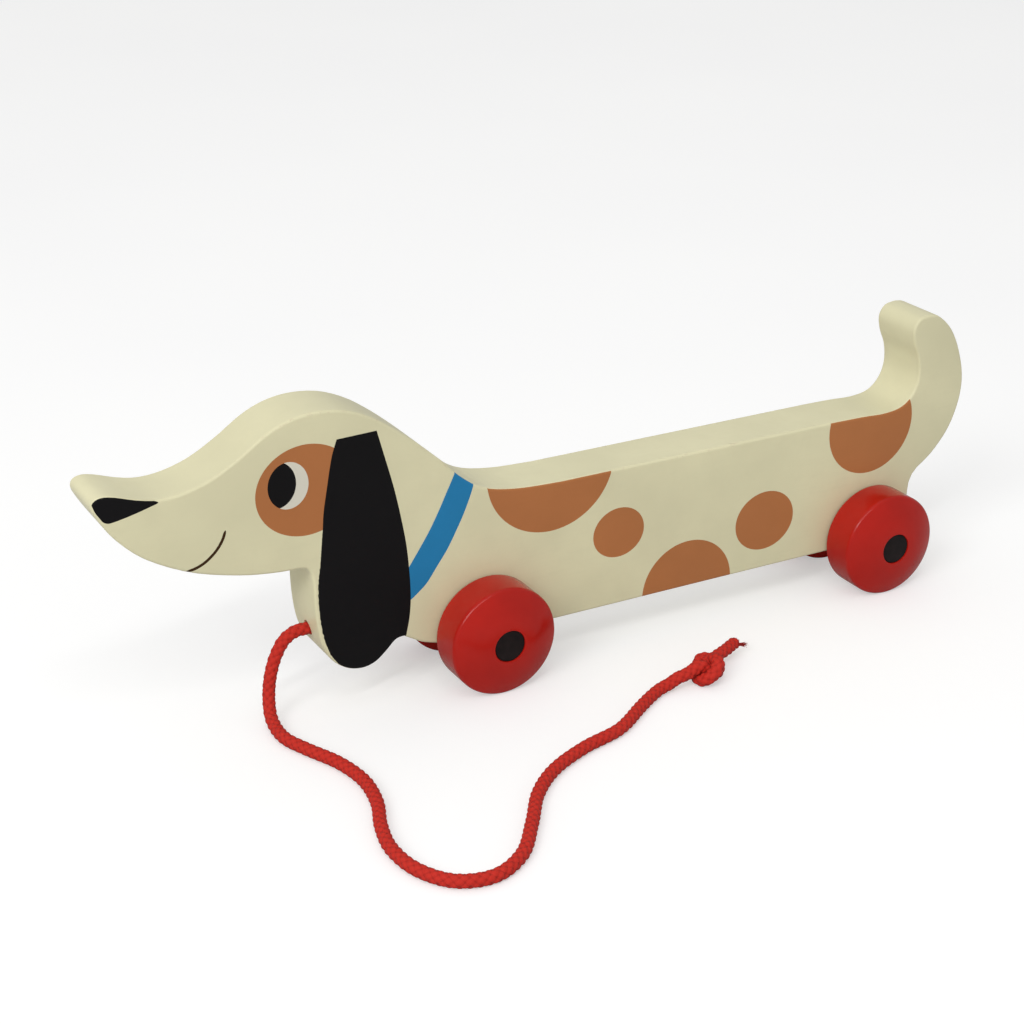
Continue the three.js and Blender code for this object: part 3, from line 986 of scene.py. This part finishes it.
def loose_knot():
    """An open overhand knot with room between its turns, lying along X."""
    t = np.linspace(-2.1, 2.1, KNOT_POINTS)
    along = 3.2 * (t ** 3 - 3 * t)
    across = 2.2 * (4 * t ** 2 - t ** 4)
    up = 2.6 * (t ** 5 / 5 - 2 * t)
    roll = math.radians(KNOT_ROLL_DEGREES)
    return np.stack([
        along,
        math.cos(roll) * across - math.sin(roll) * up,
        math.sin(roll) * across + math.cos(roll) * up,
    ], 1)


def tighten(knot):
    """Pulls the knot's ends until its turns press on one another and on the floor."""
    count = len(knot)
    start_length = np.linalg.norm(np.diff(knot, axis=0), axis=1).sum()
    near, far = np.triu_indices(count, 1)
    left = np.array([-KNOT_SPAN / 2, 0, KNOT_LIFT])
    right = np.array([KNOT_SPAN / 2, 0, KNOT_LIFT])
    thick = 2 * KNOT_CORD_RADIUS
    for turn in range(KNOT_ROUNDS):
        pulled = min(1.0, turn / (KNOT_PULLING_SHARE * KNOT_ROUNDS))
        step = (start_length + (KNOT_LENGTH - start_length) * pulled) / (count - 1)
        apart = far - near >= math.ceil(math.pi * KNOT_CORD_RADIUS * KNOT_NEIGHBOUR_SHARE / step)
        one, other = near[apart], far[apart]
        for _ in range(KNOT_SETTLES):
            knot[1:-1] += KNOT_STIFFNESS * (0.5 * (knot[:-2] + knot[2:]) - knot[1:-1])
            push_apart(knot, one, other, thick)
            for odd in (0, 1):
                a = np.arange(odd, count - 1, 2)
                gap = knot[a + 1] - knot[a]
                length = np.linalg.norm(gap, axis=1)[:, None]
                change = 0.5 * (length - step) * gap / np.maximum(length, 1e-9)
                knot[a] += change
                knot[a + 1] -= change
            knot[0] += KNOT_END_PULL * (left - knot[0])
            knot[-1] += KNOT_END_PULL * (right - knot[-1])
            knot[1] += KNOT_END_PULL * (knot[0] + (step, 0, 0) - knot[1])
            knot[-2] += KNOT_END_PULL * (knot[-1] - (step, 0, 0) - knot[-2])
            knot[:, 2] = np.maximum(knot[:, 2], 0)
    return knot


def placed_knot():
    knot = tighten(loose_knot())
    heading = math.radians(KNOT_AHEAD_DEGREES)
    ahead = np.array([math.cos(heading), math.sin(heading), 0])
    side = np.array([-math.sin(heading), math.cos(heading), 0])
    placed = np.array([*KNOT_CENTRE, 0]) + knot[:, :1] * ahead + knot[:, 1:2] * side
    from_back = (np.arange(KNOT_POINTS) - KNOT_BACK_POINT) / KNOT_BACK_WIDTH
    placed[:, 2] = CORD_RADIUS + knot[:, 2] + KNOT_BACK_RISE * np.exp(-from_back ** 2)
    return placed


def push_apart(knot, one, other, thick):
    gap = knot[one] - knot[other]
    distance = np.linalg.norm(gap, axis=1)
    close = distance < thick
    if not close.any():
        return
    push = 0.5 * (thick - distance[close])[:, None] * gap[close] / distance[close][:, None]
    move, touching = np.zeros_like(knot), np.zeros(len(knot))
    np.add.at(move, one[close], push)
    np.add.at(move, other[close], -push)
    np.add.at(touching, one[close], 1)
    np.add.at(touching, other[close], 1)
    knot += move / np.maximum(touching, 1)[:, None]


def whole_cord():
    """The cord's centre line, and each point's distance from the cord hole's mouth."""
    line = smooth_curve(cord_line(), 0.25)
    inner = np.array([[CHEST_X + CORD_HOLE_DEPTH - 0.4, 0, CORD_HOLE_Z]])
    path, travelled = even_spacing(np.vstack([inner, line]), CORD_SPACING)
    for _ in range(4):
        path[1:-1] = 0.25 * path[:-2] + 0.5 * path[1:-1] + 0.25 * path[2:]
    return path, travelled - np.linalg.norm(inner[0] - line[0])


def carried_frames(path):
    """Two directions across the path at each point, carried along it without twisting."""
    along = np.gradient(path, axis=0)
    along /= np.linalg.norm(along, axis=1)[:, None]
    first = np.cross(along[0], (0, 1, 0))
    first /= np.linalg.norm(first)
    firsts = [first]
    for direction in along[1:]:
        first = first - direction * (first @ direction)
        first = first / np.linalg.norm(first)
        firsts.append(first)
    firsts = np.array(firsts)
    return firsts, np.cross(along, firsts)


def braid(distance, turn):
    """How high the cord's surface stands, and where on its strand each point is."""
    lay = distance / CORD_LAY
    u = CORD_STRANDS * (turn / (2 * math.pi) + lay)
    v = CORD_STRANDS * (-turn / (2 * math.pi) + lay)
    off_u, off_v = u - np.round(u), v - np.round(v)
    over_u = np.cos(math.pi * (v + np.round(u)))
    over_v = -np.cos(math.pi * (u + np.round(v)))
    high_u, high_v = (
        STRAND_CROWN * np.sqrt(np.maximum(0, 1 - (STRAND_NARROWING * off) ** 2))
        + STRAND_WEAVE * over
        for off, over in ((off_u, over_u), (off_v, over_v))
    )
    top = high_u >= high_v
    width = 2 * math.pi * CORD_RADIUS / CORD_STRANDS * math.cos(math.radians(45))
    across = np.where(top, off_u, off_v) * width
    strand = np.where(top, v, u) * width
    return np.maximum(high_u, high_v), across, strand


def cord_skin(path, travelled):
    """Grid of points round the path, and what the yarn's material needs at each."""
    firsts, seconds = carried_frames(path)
    turn = round_turns(CORD_AROUND)
    distance = travelled[:, None] + 0 * turn[None]
    height, across, strand = braid(distance, turn[None] + 0 * distance)
    radius = CORD_RADIUS + CORD_RELIEF * (height - STRAND_MEAN_HEIGHT)
    from_end = np.clip((travelled[-1] - travelled) / CORD_END_ROUND, 0, 1)[:, None]
    radius *= CORD_END_SHARE + (1 - CORD_END_SHARE) * np.sqrt(1 - (1 - from_end) ** 2)
    in_knot = np.exp(-((travelled - travelled[-1] + KNOT_FROM_END) / KNOT_REACH) ** 4)[:, None]
    radius *= 1 + KNOT_SWELL * in_knot
    out = (firsts[:, None] * np.cos(turn)[None, :, None]
           + seconds[:, None] * np.sin(turn)[None, :, None])
    skin = path[:, None] + out * radius[..., None]
    skin[..., 2] = np.maximum(skin[..., 2], 0.02)
    marks = np.stack([across * MM, strand * MM, height], -1)
    return skin, marks


def cord_piece(name, skin, marks, material):
    """One closed stretch of cord, with a flat end where the next stretch meets it."""
    rings, around = skin.shape[:2]
    grid = np.arange(rings * around).reshape(rings, around)
    beside = np.roll(grid, -1, axis=1)
    quads = np.stack([grid[:-1], beside[:-1], beside[1:], grid[1:]], -1).reshape(-1, 4)
    faces = list(map(tuple, quads.tolist()))
    faces.append(tuple(grid[0][::-1].tolist()))
    faces.append(tuple(grid[-1].tolist()))
    piece = mesh_object(name, skin.reshape(-1, 3), faces, [material], sharp_degrees=80)
    values = piece.data.attributes.new("braid", "FLOAT_VECTOR", "POINT")
    values.data.foreach_set("vector", marks.reshape(-1).astype(np.float32))
    return piece


def fibre(start, direction, droop, length, thickness):
    """Vertices and faces of one thin tapered fibre that bends as it leaves the cord."""
    steps, sides = 7, 5
    share = np.linspace(0, 1, steps)[:, None]
    line = start + direction * length * share + droop * length * share ** 2
    across = np.cross(direction, (0.3, -0.2, 1.0))
    across /= np.linalg.norm(across)
    other = np.cross(direction, across)
    turns = round_turns(sides)
    ring = across * np.cos(turns)[:, None] + other * np.sin(turns)[:, None]
    width = 0.5 * thickness * (1 - 0.6 * share)
    vertices = (line[:, None] + ring[None] * width[:, :, None]).reshape(-1, 3)
    faces = [
        (k * sides + i, k * sides + (i + 1) % sides,
         (k + 1) * sides + (i + 1) % sides, (k + 1) * sides + i)
        for k in range(steps - 1) for i in range(sides)
    ]
    faces.append(tuple(range(sides))[::-1])
    faces.append(tuple((steps - 1) * sides + i for i in range(sides)))
    return vertices, faces


def build_fray(path, material):
    """Short loose fibres round the cut end, and one longer wisp that points sideways."""
    random = np.random.default_rng(SEED + 1)
    end, along = path[-1], path[-1] - path[-6]
    along /= np.linalg.norm(along)
    side = np.cross(along, (0, 0, 1))
    side /= np.linalg.norm(side)
    above = np.cross(side, along)
    vertices, faces = [], []
    for k in range(FRAY_FIBRES):
        wisp = k < WISP_FIBRES
        turn = random.uniform(0, 2 * math.pi)
        out = side * math.cos(turn) + above * math.sin(turn)
        start = end - along * random.uniform(0.9, 1.3) + out * random.uniform(0.2, 1.25)
        if wisp:
            start = end - along * 1.2 + side * 0.9 - above * 0.2 + out * random.uniform(0, 0.7)
            direction = along * 0.62 + side * 0.72 + random.normal(0, 0.07, 3)
            length = random.uniform(*WISP_LENGTHS)
        else:
            direction = along + out * random.uniform(0.0, 0.5) + random.normal(0, 0.12, 3)
            length = random.uniform(*FRAY_LENGTHS)
        direction /= np.linalg.norm(direction)
        droop = random.normal(0, 0.12, 3) - (0, 0, 0.05)
        thickness = random.uniform(*FIBRE_THICKNESSES)
        corners, sides = fibre(start, direction, droop, length, thickness)
        faces.extend(tuple(i + len(vertices) for i in face) for face in sides)
        vertices.extend(corners)
    fray = mesh_object("cord_frayed_end", vertices, faces, [material])
    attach(fray, "cord_knotted_end")


def frame_point(point):
    """A point given in millimetres, with its height above the floor, in the frame's metres."""
    return (point[0] * MM, point[1] * MM, at_height(point[2]))


def build_cord():
    material = cord_yarn()
    path, travelled = whole_cord()
    skin, marks = cord_skin(path, travelled)
    bodies = ["toy_body", "cord_drop", "cord_front_run", "cord_loop", "cord_back_run",
              "cord_knotted_end"]
    nodes = ["cord_anchor", *bodies[1:]]
    pivots = np.array(CORD_PIVOTS)
    cuts = [-1e9, *(0.5 * (pivots[:-1] + pivots[1:])), 1e9]
    for k, pivot in enumerate(pivots):
        first = int(np.searchsorted(travelled, cuts[k]))
        last = int(np.searchsorted(travelled, cuts[k + 1]))
        rows = slice(first, min(last + 1, len(path)))
        piece = cord_piece(f"braided_cord_{k + 1}", skin[rows], marks[rows], material)
        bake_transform(piece)
        stood_for = [nodes[k], nodes[k + 1]] if k == 0 else [nodes[k + 1]]
        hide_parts(*stood_for)
    build_fray(path, material)


# ---- stage


def build_stage():
    bpy.ops.mesh.primitive_plane_add(size=FLOOR_SIZE, location=(0, 0, FLOOR))
    floor = bpy.context.object
    floor.name = "studio_floor"
    floor.data.materials.append(floor_finish())
    world = bpy.data.worlds.new("studio")
    bpy.context.scene.world = world
    world.use_nodes = True
    sky = world.node_tree.nodes["Background"]
    sky.inputs["Color"].default_value = (1.0, 1.0, 1.0, 1.0)
    seen = world.node_tree.nodes.new("ShaderNodeLightPath").outputs["Is Camera Ray"]
    strength = world.node_tree.nodes.new("ShaderNodeMapRange")
    strength.inputs["To Min"].default_value = SKY_LIGHT
    strength.inputs["To Max"].default_value = SKY_SEEN
    world.node_tree.links.new(seen, strength.inputs["Value"])
    world.node_tree.links.new(strength.outputs["Result"], sky.inputs["Strength"])


def area_light(name, shape, size, power):
    light = bpy.data.lights.new(name, "AREA")
    light.shape = shape
    light.size = size
    light.energy = power
    return light


def softbox(name, position, target, size, power):
    light = area_light(name, "DISK", size, power)
    lamp = linked_object(name, light)
    lamp.location = position
    lamp.rotation_euler = (Vector(target) - Vector(position)).to_track_quat("-Z", "Y").to_euler()


def strip_light(name, start, end, target, power):
    """A long narrow lamp from one point to another, which draws an arc on each wheel's rim."""
    start, end, target = Vector(start), Vector(end), Vector(target)
    light = area_light(name, "RECTANGLE", (end - start).length, power)
    light.size_y = STRIP_WIDTH
    middle = (start + end) / 2
    back = (middle - target).normalized()
    along = (end - start) - back * (end - start).dot(back)
    along.normalize()
    turn = Matrix((along, back.cross(along), back)).transposed()
    linked_object(name, light).matrix_world = Matrix.Translation(middle) @ turn.to_4x4()


def build_lights():
    middle = (-0.05, 0.0, 0.03)
    softbox("overhead_softbox", (-0.1, 0.5, 2.6), middle, 3.4, 5.4)
    softbox("key_softbox", (-1.9, -1.1, 1.5), middle, 1.1, 22.0)
    strip_light("wheel_highlight_strip", (-0.88, -0.80, 0.86), (-0.12, -0.70, 1.16), middle, 3.6)
    bpy.context.scene.view_settings.view_transform = "Standard"


def build_camera():
    """Seen from in front of the toy's left side and a little above it."""
    azimuth, elevation, roll = (math.radians(turn) for turn in CAMERA_DEGREES)
    back = Vector((
        math.sin(azimuth) * math.cos(elevation),
        -math.cos(azimuth) * math.cos(elevation),
        math.sin(elevation),
    ))
    lens = bpy.data.cameras.new("camera")
    lens.sensor_width = SENSOR_WIDTH
    lens.lens = LENS_LENGTH
    camera = linked_object("camera", lens)
    turn = (-back).to_track_quat("-Z", "Y").to_matrix() @ Matrix.Rotation(roll, 3, "Z")
    camera.matrix_world = Matrix.Translation(frame_point(CAMERA_PLACE)) @ turn.to_4x4()
    bpy.context.scene.camera = camera


build_plank()
build_wheels()
build_cord()
build_stage()
build_lights()
build_camera()
